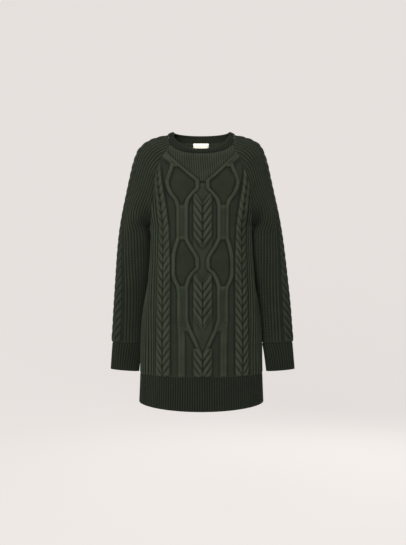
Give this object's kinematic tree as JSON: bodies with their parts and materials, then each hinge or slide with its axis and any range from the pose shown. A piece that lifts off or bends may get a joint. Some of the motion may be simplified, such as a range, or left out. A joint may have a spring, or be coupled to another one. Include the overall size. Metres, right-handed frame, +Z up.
{
  "type": "sweater dress",
  "caption": "Hollow long-sleeved knitted sweater dress with raglan shoulders, a cable lattice down the front, and ribbed neckband, cuffs and hem.",
  "frame": {"origin": "midway between the two neck points, where the shoulders carry the dress", "axes": "+Z up, front of the dress towards -Y, the wearer's left towards +X"},
  "size_m": [0.5518, 0.2584, 0.82],
  "materials": {
    "yarn_body": "matte chunky knit, dark green",
    "yarn_sleeves": "matte chunky knit, dark green",
    "yarn_ribbing": "matte fine ribbing, dark green",
    "label_cloth": "woven satin label, plain"
  },
  "bodies": {
    "root": {"front_panel": "yarn_body", "back_panel": "yarn_body", "sleeve_left": "yarn_sleeves", "sleeve_right": "yarn_sleeves", "neckband": "yarn_ribbing", "hem_ribbing": "yarn_ribbing", "cuff_left": "yarn_ribbing", "cuff_right": "yarn_ribbing", "neck_label": "label_cloth"}
  },
  "joints": []
}
